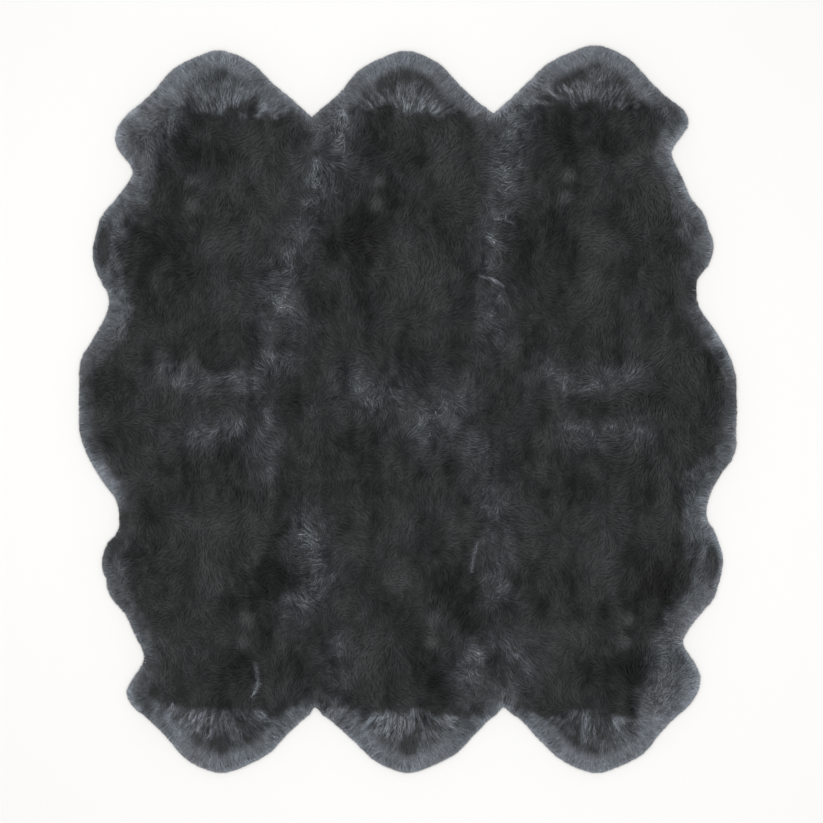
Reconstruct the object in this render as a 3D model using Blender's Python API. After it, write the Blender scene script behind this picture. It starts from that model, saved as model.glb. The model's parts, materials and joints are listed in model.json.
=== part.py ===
"""A sheepskin rug of six skins, laid flat with the wool up.

Six whole skins are sewn edge to edge: three side by side with their necks
towards +Y, and three turned half round with their necks towards -Y. Every skin
is the same cut, so one outline serves all six. Its outer side keeps the natural
edge of the skin, with foreleg, flank and hind leg. The sides that meet a
neighbour are cut to a shared wavy seam.

Each skin is one solid: a flat underside, a thick pile that rounds down to the
floor at the free edge, and pointed locks of wool all along that edge.

Metres, +Z up, +X and +Y along the floor. The origin is on the floor under the
middle of the rug.
"""

import math

import bpy
import numpy as np
from mathutils import Matrix, Vector, noise
from mathutils.geometry import delaunay_2d_cdt

MM = 0.001

# The pile: its height over the floor, and how far from the edge it reaches that height.
PILE_HEIGHT = 50 * MM
SHOULDER_WIDTH = 75 * MM

# The locks along the free edge. Each is as wide as the pitch and tapers to a tip.
LOCK_PITCH = 24.5 * MM
LOCK_LENGTH = 14 * MM
LOCK_RIDGE_BACK = 6 * MM
LOCK_RIDGE_HEIGHT = 10 * MM
LOCK_UNEVENNESS = 0.25
LOCK_ROOT_SWELL = 1.14
BETWEEN_LOCKS_SWELL = 0.82

# The seams: the gap between two skins, and the furrow where their wool meets.
SEAM_GAP = 0.3 * MM
FURROW_DEPTH = 9 * MM
FURROW_WIDTH = 20 * MM

# The soft unevenness that the staples of wool make: (size across, height).
LARGE_LUMPS = (115 * MM, 16 * MM)
SMALL_LUMPS = (62 * MM, 7 * MM)

# The long flank flap curls up at its edge, with a hollow behind the lip.
LIP_HEIGHT = 15 * MM
HOLLOW_DEPTH = 26 * MM
HOLLOW_FLOOR = 4 * MM
HOLLOW_INSET = 21 * MM
HOLLOW_HALF_WIDTH = 15 * MM
HOLLOW_HALF_LENGTH = 48 * MM

# How far apart the points are that carry the shape.
CURVE_STEP = 2.5 * MM
SEAM_STEP = 26 * MM
RING_PITCH = 27 * MM
GRID_PITCH = 38 * MM
LEAST_SPACING = 12 * MM

# Where they lie: rings along the free edge and the seams, and a grid inside these.
ROOT_RING = LOCK_LENGTH + 8 * MM
SHOULDER_RINGS = (40 * MM, 62 * MM)
SEAM_RING = 22 * MM
GRID_TO_FREE_EDGE = 80 * MM
GRID_TO_SEAM = 42 * MM
RING_SLACK = 0.94

# One skin's outline, in millimetres from the tip of its neck: a row for each
# landmark, with its distance across to the side and down from the tip.
LEFT_NECK = (
    ("crown", 50, 15),
    ("cheek", 116, 50),
    ("throat", 156, 98),
    ("neck_foot", 196, 136),
)
LEFT_SIDE = (
    ("shoulder", 226, 160),
    ("foreleg_top", 254, 199),
    ("foreleg_tip", 258, 226),
    ("foreleg_under", 246, 256),
    ("foreleg_back", 221, 286),
    ("armpit", 212, 301),
    ("chest", 224, 332),
    ("ribs", 259, 377),
    ("flap_start", 294, 419),
    ("flap_top", 303, 454),
    ("flap_upper", 313, 493),
    ("flap_lower", 312, 532),
    ("flap_under", 303, 556),
    ("flap_foot", 294, 584),
    ("flap_end", 281, 598),
    ("waist", 272, 629),
    ("waist_foot", 280, 671),
    ("thigh", 310, 729),
    ("hind_leg_top", 340, 768),
    ("hind_leg_tip", 348, 800),
    ("hind_leg_under", 348, 848),
)
RIGHT_NECK = (
    ("crown", 40, 9),
    ("cheek", 92, 37),
    ("throat", 136, 85),
    ("neck_foot", 186, 133),
)
RIGHT_SIDE = (
    ("shoulder", 225, 162),
    ("foreleg_tip", 240, 194),
    ("foreleg_under", 227, 219),
    ("armpit", 194, 271),
    ("chest", 219, 325),
    ("ribs", 243, 383),
    ("flap_start", 280, 431),
    ("flap_top", 288, 466),
    ("flap_tip", 301, 493),
    ("flap_under", 297, 530),
    ("flap_foot", 284, 560),
    ("flap_end", 262, 578),
    ("waist", 257, 620),
    ("waist_foot", 265, 662),
    ("thigh", 296, 704),
    ("hind_leg_top", 324, 749),
    ("hind_leg_upper", 347, 797),
    ("hind_leg_tip", 358, 838),
    ("hind_leg_under", 358, 883),
)

# The turned skins are longer by this much, in millimetres, between the tip of the
# neck and the armpit, which lies this far down.
TURNED_NECK_STRETCH = 24
ARMPIT_DEPTH = 300

# The seams, in millimetres from the middle of the rug: a point for each bend.
# Those between columns run from the notch at the edge to the junction inside.
LEFT_JUNCTION = (-301, 11)
RIGHT_JUNCTION = (237, 4)
SEAMS = {
    "top_left": (
        *((-241, 733), (-223, 615), (-263, 489), (-304, 388), (-293, 275), (-311, 142)),
        LEFT_JUNCTION,
    ),
    "top_right": (
        *((216, 742), (227, 615), (232, 489), (202, 388), (192, 275), (212, 142)),
        RIGHT_JUNCTION,
    ),
    "bottom_left": (
        *((-232, -748), (-256, -630), (-271, -504), (-248, -378), (-281, -240), (-314, -114)),
        LEFT_JUNCTION,
    ),
    "bottom_right": (
        *((241, -748), (232, -617), (197, -504), (167, -378), (187, -253), (217, -114)),
        RIGHT_JUNCTION,
    ),
    "row_left": ((-826, 6), (-698, 29), (-560, 44), (-422, 26), LEFT_JUNCTION),
    "row_middle": (LEFT_JUNCTION, (-145, 29), (6, 4), (119, -11), RIGHT_JUNCTION),
    "row_right": (RIGHT_JUNCTION, (383, 29), (534, 11), (684, -11), (828, -1)),
}

# The skins: a row each, with where the tip of the neck lies, in millimetres from
# the middle of the rug, whether the skin is turned half round, which of its sides
# keeps its natural edge, and the seams round the rest, in order, anticlockwise.
# A seam with a minus sign is followed backwards.
SKINS = (
    ("skin_top_left", (-477, 902), False, "left", ("row_left", "-top_left")),
    ("skin_top_middle", (-7, 901), False, None, ("top_left", "row_middle", "-top_right")),
    ("skin_top_right", (468, 915), False, "right", ("top_right", "row_right")),
    ("skin_bottom_left", (-467, -915), True, "right", ("bottom_left", "-row_left")),
    ("skin_bottom_middle", (3, -915), True, None, ("bottom_right", "-row_middle", "-bottom_left")),
    ("skin_bottom_right", (478, -915), True, "left", ("-row_right", "-bottom_right")),
)

WOOL_COLOUR = (0.032, 0.034, 0.036, 1.0)
WOOL_ROUGHNESS = 0.95
SHARP_EDGE_ANGLE = math.radians(60)


def clear_scene():
    for obj in list(bpy.data.objects):
        bpy.data.objects.remove(obj, do_unlink=True)


def lengths_along(line):
    """The length of a line of points from its start to each of them."""
    return np.concatenate([[0], np.cumsum(np.linalg.norm(np.diff(line, axis=0), axis=1))])


def evenly_spaced(line, count):
    """The line as a number of equal steps, both ends included."""
    lengths = lengths_along(line)
    wanted = np.linspace(0, lengths[-1], count + 1)
    return np.column_stack([np.interp(wanted, lengths, line[:, axis]) for axis in (0, 1)])


def stepped(line, step):
    """The line in equal steps of about the given length."""
    return evenly_spaced(line, max(1, round(lengths_along(line)[-1] / step)))


def smooth_curve(points):
    """A dense line of points along a rounded curve through the given ones: a centripetal spline."""
    points = np.array(points, float)
    before = 2 * points[0] - points[1]
    after = 2 * points[-1] - points[-2]
    points = np.vstack([before, points, after])
    knots = np.concatenate([[0], np.cumsum(np.linalg.norm(np.diff(points, axis=0), axis=1) ** 0.5)])
    dense = []
    for i in range(1, len(points) - 2):
        steps = math.ceil(np.linalg.norm(points[i + 1] - points[i]) / CURVE_STEP)
        times = np.linspace(knots[i], knots[i + 1], steps, endpoint=False)[:, None]
        p0, p1, p2, p3 = points[i - 1 : i + 3]
        t0, t1, t2, t3 = knots[i - 1 : i + 3]
        near_start = blend(p0, p1, times, t0, t1)
        between = blend(p1, p2, times, t1, t2)
        near_end = blend(p2, p3, times, t2, t3)
        first = blend(near_start, between, times, t0, t2)
        second = blend(between, near_end, times, t1, t3)
        dense.append(blend(first, second, times, t1, t2))
    return np.vstack([*dense, points[-2:-1]])


def blend(start, end, times, start_time, end_time):
    """A straight blend from one point at its time to another at a later time."""
    share = (times - start_time) / (end_time - start_time)
    return start * (1 - share) + end * share


def inward_normals(line, reach=1):
    """The unit normal to the left of a line at each point, read over a number of points each way."""
    last = len(line) - 1
    places = np.arange(len(line))
    along = line[np.minimum(places + reach, last)] - line[np.maximum(places - reach, 0)]
    normals = np.column_stack([-along[:, 1], along[:, 0]])
    return normals / np.linalg.norm(normals, axis=1)[:, None]


def distance_to_lines(points, lines):
    """The distance of each point from the nearest of several lines of points."""
    nearest = np.full(len(points), np.inf)
    for line in lines:
        start, piece = line[:-1], np.diff(line, axis=0)
        offset = points[:, None, :] - start[None]
        share = np.clip((offset * piece[None]).sum(axis=2) / (piece**2).sum(axis=1), 0, 1)
        to_pieces = np.linalg.norm(offset - share[..., None] * piece[None], axis=2)
        nearest = np.minimum(nearest, to_pieces.min(axis=1))
    return nearest


def place_landmarks(rows, side, neck_tip, turned):
    """The landmarks of one side of a skin, in metres on the rug."""
    sign = -1 if side == "left" else 1
    half_turn = -1 if turned else 1
    placed = []
    for _, across, down in rows:
        if turned:
            down += TURNED_NECK_STRETCH * min(1, down / ARMPIT_DEPTH) ** 2
        x = neck_tip[0] + half_turn * sign * across
        y = neck_tip[1] - half_turn * down
        placed.append((x * MM, y * MM))
    return placed


def seam_line(name):
    """A seam as a dense line, in the direction that its sign gives."""
    line = smooth_curve(np.array(SEAMS[name.lstrip("-")]) * MM)
    return line[::-1] if name.startswith("-") else line


def free_edge(neck_tip, turned, natural_side, seams):
    """A skin's natural edge as a dense line, anticlockwise from the end of its last seam."""
    left = place_landmarks(LEFT_NECK, "left", neck_tip, turned)
    right = place_landmarks(RIGHT_NECK, "right", neck_tip, turned)
    if natural_side == "left":
        left += place_landmarks(LEFT_SIDE, "left", neck_tip, turned)
    if natural_side == "right":
        right += place_landmarks(RIGHT_SIDE, "right", neck_tip, turned)
    start = seam_line(seams[-1])[-1]
    end = seam_line(seams[0])[0]
    tip = np.array(neck_tip) * MM
    return smooth_curve([start, *reversed(right), tip, *left, end])


def flap_hollows():
    """The middle of the hollow behind the lip of each long flank flap, and its direction."""
    hollows = []
    flap = [row for row in LEFT_SIDE if row[0] in ("flap_top", "flap_lower")]
    for _, neck_tip, turned, natural_side, _ in SKINS:
        if natural_side == "left":
            upper, lower = np.array(place_landmarks(flap, "left", neck_tip, turned))
            inward = np.array([-HOLLOW_INSET if turned else HOLLOW_INSET, 0])
            along = (lower - upper) / np.linalg.norm(lower - upper)
            hollows.append(((upper + lower) / 2 + inward, along))
    return hollows


class Pile:
    """The top of the wool over the whole rug."""

    def __init__(self):
        edges = [free_edge(*row) for _, *row in SKINS]
        self.edges = [stepped(edge, 4 * CURVE_STEP) for edge in edges]
        self.seams = [stepped(seam_line(name), 4 * CURVE_STEP) for name in SEAMS]
        self.hollows = flap_hollows()

    def to_edge(self, points):
        return distance_to_lines(points, self.edges)

    def to_seam(self, points):
        return distance_to_lines(points, self.seams)

    def height(self, points):
        """The height of the wool over the floor at each point."""
        inside = np.clip((self.to_edge(points) - LOCK_LENGTH) / SHOULDER_WIDTH, 0, 1)
        shoulder = np.sqrt(1 - (1 - inside) ** 2)
        furrow = FURROW_DEPTH * np.exp(-((self.to_seam(points) / FURROW_WIDTH) ** 2))
        full = shoulder * (PILE_HEIGHT - furrow + lumps(points))
        hollowed = full - HOLLOW_DEPTH * self.near_hollow(points, HOLLOW_HALF_WIDTH)
        return np.maximum(hollowed, np.minimum(full, HOLLOW_FLOOR))

    def near_hollow(self, points, half_width):
        """From 1 in the middle of a hollow to 0 well outside it."""
        nearness = np.zeros(len(points))
        for middle, along in self.hollows:
            offset = points - middle
            lengthwise = (offset @ along) / HOLLOW_HALF_LENGTH
            crosswise = (offset @ (-along[1], along[0])) / half_width
            nearness += np.exp(-(lengthwise**4) - crosswise**2)
        return nearness

    def lip_height(self, points):
        """How much higher the locks stand along the curled edge of a flap."""
        return LIP_HEIGHT * self.near_hollow(points, 2 * HOLLOW_HALF_WIDTH)


def lumps(points):
    """Smooth unevenness, up and down, the same each time."""
    heights = np.zeros(len(points))
    for level, (size, height) in enumerate((LARGE_LUMPS, SMALL_LUMPS)):
        places = [Vector((x / size, y / size, level)) for x, y in points]
        heights += height / 2 * np.array([noise.noise(place) for place in places])
    return heights


def unevenness(index, seed):
    """A repeatable number from -1 to 1 for each lock."""
    return math.sin(index * 12.9898 + seed * 78.233) * math.cos(index * 4.1414 + seed * 2.7)


def lock_points(edge, pile, seed):
    """The locks along a free edge: their outline on the floor, their ridges and their roots.

    The outline is a row of (x, y). The ridges and roots are rows of (x, y, height).
    """
    count = round(lengths_along(edge)[-1] / LOCK_PITCH)
    marks = evenly_spaced(edge, 2 * count)
    inward = inward_normals(marks, reach=3)
    swell = np.where(np.arange(len(marks)) % 2, LOCK_ROOT_SWELL, BETWEEN_LOCKS_SWELL)
    root_places = marks + inward * ROOT_RING
    root_heights = pile.height(root_places) * swell
    outline, ridges = [], []
    for i in range(1, len(marks) - 1):
        scale = 1 + LOCK_UNEVENNESS * unevenness(i, seed)
        if i % 2 == 0:
            outline.append(marks[i] + inward[i] * LOCK_LENGTH * scale)
            continue
        outline.append(marks[i])
        ridge = marks[i] + inward[i] * LOCK_RIDGE_BACK * scale
        height = LOCK_RIDGE_HEIGHT * scale + pile.lip_height(ridge[None])[0]
        ridges.append((*ridge, height))
    clear = pile.to_edge(root_places) > ROOT_RING * RING_SLACK
    clear &= pile.to_seam(root_places) > SEAM_RING / 2
    roots = np.column_stack([root_places, root_heights])[clear]
    return np.array(outline), np.array(ridges), roots


def cut_edge(seams):
    """A skin's seams in one line, drawn in on every side by half the gap between skins."""
    line = stepped(seam_line(seams[0]), SEAM_STEP)
    for name in seams[1:]:
        line = np.vstack([line, stepped(seam_line(name), SEAM_STEP)[1:]])
    pieces = np.diff(line, axis=0)
    normals = np.column_stack([-pieces[:, 1], pieces[:, 0]]) / np.linalg.norm(pieces, axis=1)[:, None]
    before = np.vstack([normals[:1], normals])
    after = np.vstack([normals, normals[-1:]])
    mitre = (before + after) / (1 + (before * after).sum(axis=1))[:, None]
    return line + mitre * SEAM_GAP / 2


def inside_polygon(points, polygon):
    """Whether each point lies inside a closed polygon, by counting the sides it crosses."""
    x, y = points.T
    found = np.zeros(len(points), bool)
    for (ax, ay), (bx, by) in zip(polygon, np.roll(polygon, -1, axis=0)):
        if ay != by:
            crossed = ((ay > y) != (by > y)) & (x < (bx - ax) * (y - ay) / (by - ay) + ax)
            found ^= crossed
    return found


def grid_points(polygon):
    """An even grid of triangles over the polygon's box."""
    low, high = polygon.min(axis=0), polygon.max(axis=0)
    rows = []
    for row, y in enumerate(np.arange(low[1], high[1], GRID_PITCH * math.sqrt(3) / 2)):
        x = np.arange(low[0] + (row % 2) * GRID_PITCH / 2, high[0], GRID_PITCH)
        rows.append(np.column_stack([x, np.full(len(x), y)]))
    return np.vstack(rows)


def ring_points(line, distance):
    marks = stepped(line, RING_PITCH)
    return marks + inward_normals(marks) * distance


def inner_points(pile, edge, seams, outline):
    """The points inside the locks that carry the shoulder, the furrows and the lumps."""
    rings = [(ring_points(edge, inset), inset * RING_SLACK, SEAM_RING / 2) for inset in SHOULDER_RINGS]
    for name in seams:
        ring = ring_points(seam_line(name), SEAM_RING)
        rings.append((ring, SHOULDER_RINGS[0] * RING_SLACK, SEAM_RING * RING_SLACK))
    rings.append((grid_points(outline), GRID_TO_FREE_EDGE, GRID_TO_SEAM))
    kept = []
    for points, least_to_edge, least_to_seam in rings:
        points = points[inside_polygon(points, outline)]
        points = points[pile.to_edge(points) > least_to_edge]
        points = points[pile.to_seam(points) > least_to_seam]
        for point in points:
            if not kept or np.linalg.norm(np.array(kept) - point, axis=1).min() > LEAST_SPACING:
                kept.append(point)
    return np.array(kept)


def triangles(plan, outline_count):
    """Triangles over the points of a plan, the first of which are its outline, anticlockwise."""
    sides = [(i, (i + 1) % outline_count) for i in range(outline_count)]
    inside_only, tolerance = 1, 1e-6
    points = [Vector(point) for point in plan]
    return delaunay_2d_cdt(points, sides, [], inside_only, tolerance)[2]


def closed_mesh(name, plan, heights, outline_count):
    """The pile on a flat underside. At the locks they share an edge, and at the seams a wall joins them."""
    vertices = [(x, y, z) for (x, y), z in zip(plan, heights)]
    under = list(range(outline_count))
    for i in range(outline_count):
        if heights[i] > 0:
            under[i] = len(vertices)
            vertices.append((*plan[i], 0.0))
    faces = [tuple(face) for face in triangles(plan, outline_count)]
    for face in triangles(plan[:outline_count], outline_count):
        faces.append(tuple(under[i] for i in reversed(face)))
    for i in range(outline_count):
        j = (i + 1) % outline_count
        corners = dict.fromkeys((i, under[i], under[j], j))
        if len(corners) > 2:
            faces.append(tuple(corners))
    mesh = bpy.data.meshes.new(name)
    mesh.from_pydata(vertices, [], faces)
    return mesh


def skin_mesh(name, pile, seed, neck_tip, turned, natural_side, seams):
    edge = free_edge(neck_tip, turned, natural_side, seams)
    locks, ridges, roots = lock_points(edge, pile, seed)
    cut = cut_edge(seams)
    outline = np.vstack([locks, cut])
    inner = inner_points(pile, edge, seams, outline)
    cut_heights = pile.height(cut)
    cut_heights[[0, -1]] = 0
    plan = np.vstack([outline, ridges[:, :2], roots[:, :2], inner])
    heights = np.concatenate(
        [np.zeros(len(locks)), cut_heights, ridges[:, 2], roots[:, 2], pile.height(inner)]
    )
    return closed_mesh(name, plan, heights, len(outline))


def wool_material():
    material = bpy.data.materials.new("charcoal_wool")
    material.use_nodes = True
    shader = material.node_tree.nodes["Principled BSDF"]
    shader.inputs["Base Color"].default_value = WOOL_COLOUR
    shader.inputs["Roughness"].default_value = WOOL_ROUGHNESS
    shader.inputs["Metallic"].default_value = 0.0
    return material


def middle_of_box(meshes):
    """The middle, over the floor, of the box that holds all the meshes."""
    places = np.array([vertex.co[:2] for mesh in meshes for vertex in mesh.vertices])
    x, y = (places.min(axis=0) + places.max(axis=0)) / 2
    return Vector((x, y, 0))


def main():
    clear_scene()
    pile = Pile()
    wool = wool_material()
    meshes = [skin_mesh(name, pile, seed, *row) for seed, (name, *row) in enumerate(SKINS)]
    to_origin = Matrix.Translation(-middle_of_box(meshes))
    for mesh in meshes:
        mesh.transform(to_origin)
        mesh.materials.append(wool)
        mesh.shade_smooth()
        mesh.set_sharp_from_angle(angle=SHARP_EDGE_ANGLE)
        skin = bpy.data.objects.new(mesh.name, mesh)
        bpy.context.scene.collection.objects.link(skin)


main()
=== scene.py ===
"""The looks of the sheepskin rug: hides, fleece, wool and seam thread, on a pale floor.

Each skin of the frame is dressed with three pieces: a thin suede hide near the
floor, the mass of the fleece over it, and the wool, which is many tapered tufts
that stand out of the fleece. They reach the height of the skin's solid and lie as
the wool does there: outward along the free edge, fanned out on the neck, and in
slow swirls elsewhere. Where wool lies over or is ruffled, it is painted paler: a
painted sheen, as of fibres that catch the light from the side. The wool is painted
darker towards its roots, and the fleece darker than the tips: painted shade deep
in the pile. A zigzag thread joins the hides from below.

Metres, in the frame's own axes: +Y towards the necks of the upper row, +Z up.
"""

import json
import math

import bpy
import numpy as np
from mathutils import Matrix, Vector
from mathutils.bvhtree import BVHTree
from mathutils.geometry import delaunay_2d_cdt
from mathutils.kdtree import KDTree

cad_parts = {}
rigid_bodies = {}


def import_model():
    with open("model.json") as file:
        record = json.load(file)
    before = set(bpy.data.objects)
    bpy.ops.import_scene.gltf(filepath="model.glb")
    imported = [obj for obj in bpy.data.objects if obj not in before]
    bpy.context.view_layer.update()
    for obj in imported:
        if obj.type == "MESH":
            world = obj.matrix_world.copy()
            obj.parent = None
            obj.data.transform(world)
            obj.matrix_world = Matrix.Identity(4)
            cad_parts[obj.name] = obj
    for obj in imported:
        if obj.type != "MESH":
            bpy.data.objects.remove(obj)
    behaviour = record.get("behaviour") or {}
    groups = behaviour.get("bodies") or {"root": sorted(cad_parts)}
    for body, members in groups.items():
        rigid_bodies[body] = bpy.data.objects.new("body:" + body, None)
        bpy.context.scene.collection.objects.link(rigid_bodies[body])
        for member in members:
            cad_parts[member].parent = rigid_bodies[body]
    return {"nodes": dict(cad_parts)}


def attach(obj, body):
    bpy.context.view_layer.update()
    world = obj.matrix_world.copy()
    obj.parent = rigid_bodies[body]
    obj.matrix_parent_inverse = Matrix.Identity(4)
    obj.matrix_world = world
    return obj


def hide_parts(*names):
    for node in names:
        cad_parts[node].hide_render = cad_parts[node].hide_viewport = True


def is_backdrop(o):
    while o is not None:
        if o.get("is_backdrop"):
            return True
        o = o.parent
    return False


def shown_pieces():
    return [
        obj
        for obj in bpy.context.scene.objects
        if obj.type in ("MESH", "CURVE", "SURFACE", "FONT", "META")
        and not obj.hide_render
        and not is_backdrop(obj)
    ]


MM = 0.001


def mm(*values):
    return tuple(value * MM for value in values)


# How the photograph frames the rug: its side, what a pixel spans on the floor, and the
# pixel of the frame's origin.
PHOTO_PIXELS = 823
METRES_PER_PIXEL = 2.5155 * MM
ORIGIN_PIXEL = (408.0, 409.25)
LENS_MM = 85
SENSOR_MM = 36

# The studio: the floor, just under the rug, and the place, size and power of each lamp.
FLOOR_SIZE = 30
FLOOR_DROP = 0.3 * MM
FLOOR_COLOUR = (0.62, 0.615, 0.605)
LAMPS = {
    "key": ((-0.6, 0.5, 3.4), 3.0, 45),
    "fill": ((0.7, -0.6, 3.4), 3.0, 35),
}
WORLD_STRENGTH = 1.12

# How outlines are read: what counts as on the floor and as sewn, the steps along the
# edge and the seams, and how far out the neck of a skin with a flank is.
ON_FLOOR = 0.01 * MM
SEWN_WITHIN = 1 * MM
EDGE_STEP = 3 * MM
EDGE_ROUNDING = 4
SEAM_STEP = 4 * MM
SEAM_END_STEPS = 5
OUTER_NECK = 200 * MM

# The hide: a sheet just over the floor, held there by the thread under it.
HIDE_LIFT = 0.9 * MM
HIDE_THICKNESS = 1.8 * MM
HIDE_INSET = 26 * MM
HIDE_RAGGED = 3 * MM
HIDE_PITCH = 30 * MM
SEAM_CLEARANCE = 0.3 * MM

# A drawn-in edge: its share of the inset at the notches, how it is rounded off, what it
# keeps of the inset and clear of the seams, and how long its waves are.
NOTCH_INSET = 0.4
INSET_ROUNDING = 30
INSET_KEPT = 0.85
INSET_TO_SEAM = 2 * MM
INSET_WAVES = 70 * MM
INNER_JITTER = 0.2

# The thread that joins the hides below, in zigzag stitches across the seams.
THREAD_RADIUS = 0.4 * MM
STITCH_PITCH = 8 * MM
STITCH_REACH = 3.5 * MM
STITCH_START = 5
SHARED_WITHIN = 3 * MM
FEWEST_SHARED = 10

# The mass of fleece over the hide, which rises from the rim to a share of the pile.
FLEECE_LIFT = 0.6 * MM
FLEECE_FLOOR = HIDE_LIFT + HIDE_THICKNESS + FLEECE_LIFT
FLEECE_INSET = 10 * MM
FLEECE_PITCH = 11 * MM
FLEECE_SHARE = 0.76
FLEECE_LUMPS = 0.08
FLEECE_RISE = mm(4, 40)
FLEECE_ROUNDNESS = 0.35
FLEECE_LEAST = 0.8 * MM
FLEECE_LAP = 3 * MM

# The tufts: how far apart they are where the wool stands and where it lies over, how
# thick, how deep they are rooted in the fleece, and how they bend and shade.
STANDING_PITCH = 5.0 * MM
LYING_PITCH = 3.5 * MM
TUFT_JITTER = 0.42
STANDING_RADIUS = mm(1.1, 1.9)
LYING_RADIUS = mm(1.0, 1.6)
ROOTED = 4 * MM
SHOWN = 7 * MM
OVER_FLEECE = 1 * MM
TUFT_MIDDLE = 0.43
TUFT_CURL = 0.10
TUFT_ARCH = 0.13
SOFTNESS = 0.5
RIM_FACING = 0.7
SHADE_SPREAD = 0.09
SHADE_RANGE = (0.3, 2.2)

# How much their painted sheen differs: everywhere, less where the neck is calm, more
# on the rest of it, and most where the wool is ruffled.
UNRULY = 0.24
UNRULY_LESS_CALM = 0.32
UNRULY_ON_NECK = 0.20
UNRULY_GAIN = 1.5
UNRULY_RUFFLED = 0.55

# The staples that they gather into, less so at the rim, and how they mingle at a seam.
STAPLE_PITCH = 20 * MM
STAPLE_JITTER = 0.35
STAPLE_PULL = 0.16
RIM_PULL_LESS = 0.7
SEAM_MINGLING = 4.5 * MM
MINGLED = mm(14, 2)
SEAM_FROM_RIM = mm(0, 30)

# How far below the top of the pile the tips stay, in shares of it: everywhere, more at
# the rim, and by staple. Most are near the top.
TIP_DROP = 0.10
RIM_TIP_DROP = 0.5
RIM_TIPS = mm(26, 4)
TIPS_NEAR_TOP = 1.5
STAPLE_DROP = 0.03

# The free edge: how the height falls off there, and the rows of tufts that end on it.
RIM_BAND = 62 * MM
LYING_AT_RIM = mm(54, 38)
LIP_WIDTH = 9 * MM
FURROW_FILLED = 11 * MM
LIP_HEIGHT = mm(4, 15)
OFF_THE_SKIN = mm(16, 5)
EDGE_ROWS = mm(2.0, 1.6, 0.6, -1.2)
EDGE_PITCH = 2.1 * MM
EDGE_RADIUS = mm(1.1, 1.6)
EDGE_LENGTH = mm(17, 31)
LENGTH_LESS_AT_LIP = 0.5
EDGE_LEVEL = 1.6 * MM
EDGE_RISE = 2 * MM
EDGE_SHARE = (0.7, 1.25)
EDGE_FACING = 0.9
EDGE_MIDDLE = 0.74
NOTCH_REACH = 28 * MM

# How those tufts differ: in how far they reach, in millimetres, in their slant, and in
# their shade and painted sheen, each a mean and a spread. Their mean shade, above 1,
# paints them lighter: more painted sheen on the wool that lies over the rim.
UNEVEN_LOOSE = 0.5
UNEVEN_WAVES = 0.8
SLANT_LOOSE = 0.14
SLANT_WAVES = 0.3
EDGE_SHADE_WITH_SHEEN = 1.06
EDGE_SHADE_SPREAD = 0.10
EDGE_SHEEN = 1.1
EDGE_SHEEN_SPREAD = 0.15

# How far the tips of the tufts lie from their roots.
LEAN_AT_RIM = 27 * MM
LEAN_ON_NECK = 24 * MM
LEAN_LAY = 22 * MM
LEAN_LOOSE = 3 * MM
LEAN_RUFFLED = 16 * MM
LEAN_PARTED = 20 * MM
LEAN_IN_HOLLOW = 18 * MM
LEAN_LESS_AT_LIP = 0.6
LAY_LESS = 0.8
LAY_GAIN = 2.2
LAY_LENGTH = (0.65, 0.9)
TAILWARD = 0.3
TAILWARD_FROM_SEAM = mm(20, 90)
SWIRL_TURN = 1.5 * math.pi

# The neck: where its wool fans out from, how far down its cap of laid wool reaches, and
# where, about there, the wool starts to lie, to lean and to take the painted sheen.
NECK_FAN_CENTRE = 250 * MM
NECK_CAP = 160 * MM
CAP_RAGGED = 26 * MM
LYING_ON_NECK = (NECK_CAP + 22 * MM, NECK_CAP + 2 * MM)
LEANING_ON_NECK = (NECK_CAP + 20 * MM, NECK_CAP - 30 * MM)
SHEEN_ON_NECK = (NECK_CAP + 10 * MM, NECK_CAP - 18 * MM)
EDGE_ON_NECK = (NECK_CAP + 10 * MM, NECK_CAP - 50 * MM)

# Its sides, its tip along the outline, where the painted sheen of that is even, what is
# behind it, and the flank's side.
SHOULDERS = mm(60, 120)
TIP_BAND = mm(62, 32)
CALM_BAND = mm(60, 35)
BEHIND_TIP = mm(86, 116)
FLANKWARD = mm(-20, 40)

# Painted sheen along the left and the right side of the rug, from 0 to 1, where the wool
# lies over and catches the light: at the outline itself, in the band inside it, and how
# wide that is. One turns into the other in the middle.
MIDDLE_COLUMN = (-250, 250)
LEFT_SHEEN = (
    # y, edge, band, width
    (900, 1.00, 0.41, 62),
    (740, 1.00, 0.42, 104),
    (687, 0.84, 0.34, 128),
    (572, 0.73, 0.25, 66),
    (438, 0.54, 0.36, 78),
    (270, 0.48, 0.38, 56),
    (169, 0.52, 0.20, 78),
    (61, 0.31, 0.08, 31),
    (-65, 0.52, 0.20, 41),
    (-178, 1.00, 0.31, 37),
    (-266, 0.00, 0.00, 21),
    (-404, 0.41, 0.25, 66),
    (-550, 0.46, 0.07, 41),
    (-681, 0.38, 0.16, 47),
    (-760, 1.00, 0.41, 62),
)
RIGHT_SHEEN = (
    (900, 1.00, 0.41, 62),
    (760, 1.00, 0.36, 62),
    (715, 0.88, 0.25, 52),
    (577, 1.00, 0.22, 41),
    (438, 0.69, 0.27, 78),
    (300, 0.02, 0.00, 21),
    (174, 1.00, 0.34, 47),
    (48, 0.23, 0.04, 37),
    (-70, 0.60, 0.20, 39),
    (-183, 0.38, 0.26, 95),
    (-271, 0.86, 0.39, 60),
    (-392, 0.65, 0.24, 87),
    (-535, 0.61, 0.32, 68),
    (-668, 1.00, 0.32, 126),
    (-760, 1.00, 0.42, 104),
    (-915, 1.00, 0.41, 62),
)

# The hollows of the two flank flaps, painted dark inside as painted shadow, and how much
# wider and longer the inside and the lip are, and where, as shares of that, they end and
# are full.
HOLLOWS = (
    # x, y, half width, half length
    (-763, 408, 18, 50),
    (762, -386, 18, 46),
)
IN_HOLLOW = ((1, 1), 1.25, 0.75)
LIP_OF_HOLLOW = ((3, 1.5), 1.1, 0.8)

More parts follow.
